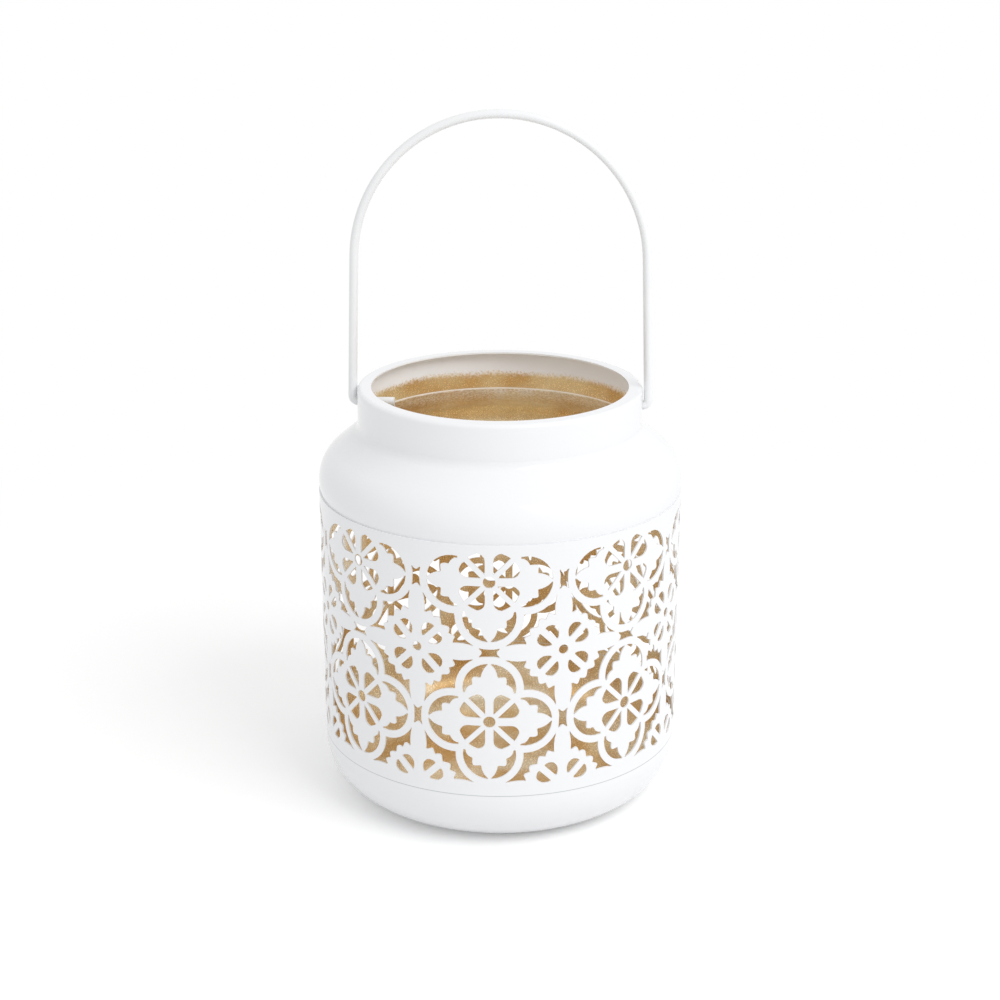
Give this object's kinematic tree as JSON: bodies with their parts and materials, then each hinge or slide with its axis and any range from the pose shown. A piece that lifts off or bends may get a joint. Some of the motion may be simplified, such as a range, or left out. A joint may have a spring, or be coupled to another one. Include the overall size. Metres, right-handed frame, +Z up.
{
  "type": "punched tin lantern",
  "caption": "Round candle lantern of punched sheet steel with an open mouth, a rounded shoulder, a short lipped neck and a swinging wire bail handle.",
  "frame": {"origin": "centre of the flat underside of the base pan, where the lantern stands", "axes": "+Z up along the lantern's own axis, +X along the bail's pivot axis, -Y towards the middle of one medallion of the punched pattern"},
  "size_m": [0.133, 0.133, 0.2538],
  "materials": {
    "painted_sheet": "semi-gloss white outside, gold inside",
    "painted_wire": "semi-gloss white"
  },
  "bodies": {
    "lantern": {"base_pan": "painted_sheet", "punched_sleeve": "painted_sheet", "shoulder": "painted_sheet", "neck_ring": "painted_sheet"},
    "bail": {"bail_handle": "painted_wire"}
  },
  "joints": [
    {"name": "bail_pivot", "type": "hinge", "parent": "lantern", "child": "bail", "pos_m": [0, 0, 0.14807], "axis": [1, 0, 0], "range_deg": [-112, 112]}
  ]
}
